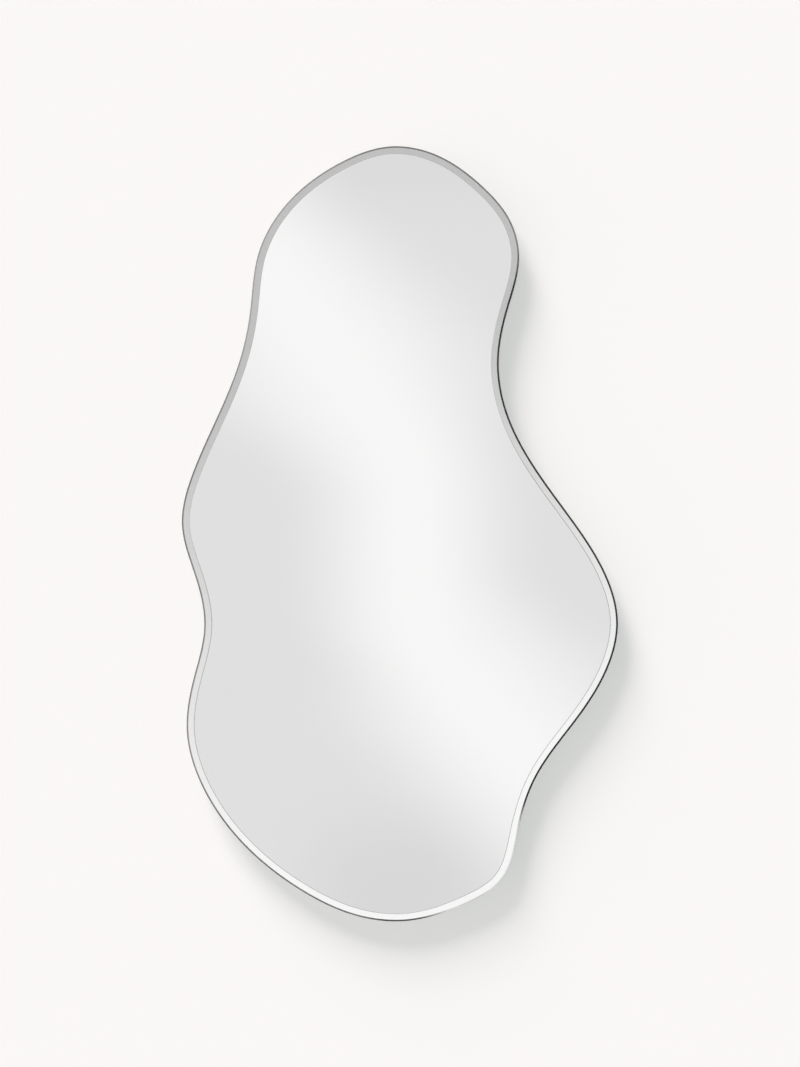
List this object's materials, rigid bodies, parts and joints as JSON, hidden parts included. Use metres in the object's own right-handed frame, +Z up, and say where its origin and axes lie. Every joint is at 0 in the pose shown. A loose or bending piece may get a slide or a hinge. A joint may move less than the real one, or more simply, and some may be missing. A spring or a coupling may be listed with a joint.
{
  "type": "wall mirror",
  "caption": "Frameless wall mirror with a free, pebble-like outline and a bevelled rim, bonded to a backing board with strap hangers and rubber bumpers.",
  "frame": {"origin": "on the wall plane, behind the middle of the outline's width and height", "axes": "+Z up, +Y out of the mirror's back into the wall, +X to the viewer's right; the pane faces -Y"},
  "size_m": [0.4499, 0.0236, 0.8],
  "materials": {
    "glass": "clear float glass with a polished bevel",
    "silver": "silvered front, grey safety paint behind",
    "foam_tape": "matt closed-cell foam",
    "adhesive": "cured, satin",
    "black_board": "black dyed fibreboard, matt",
    "zinc_strip": "zinc plated",
    "ring_wire": "zinc plated, smooth",
    "screw_steel": "zinc plated",
    "rubber": "matt"
  },
  "bodies": {
    "mirror": {"mirror_glass": "glass", "silver_backing": "silver", "bonding_tape": "foam_tape", "adhesive_beads": "adhesive", "backing_board": "black_board", "hanger_strap_left": "zinc_strip", "hanger_screws_left": "screw_steel", "hanger_strap_right": "zinc_strip", "hanger_screws_right": "screw_steel", "bumper_top_left": "rubber", "bumper_top_right": "rubber", "bumper_bottom_left": "rubber", "bumper_bottom_right": "rubber"},
    "ring_left": {"hanger_ring_left": "ring_wire"},
    "ring_right": {"hanger_ring_right": "ring_wire"}
  },
  "joints": [
    {"name": "ring_left_hinge", "type": "hinge", "parent": "mirror", "child": "ring_left", "pos_m": [-0.08178, -0.00405, 0.225], "axis": [-1, 0, 0], "range_deg": [-3, 175]},
    {"name": "ring_right_hinge", "type": "hinge", "parent": "mirror", "child": "ring_right", "pos_m": [0.04822, -0.00405, 0.225], "axis": [-1, 0, 0], "range_deg": [-3, 175]}
  ]
}
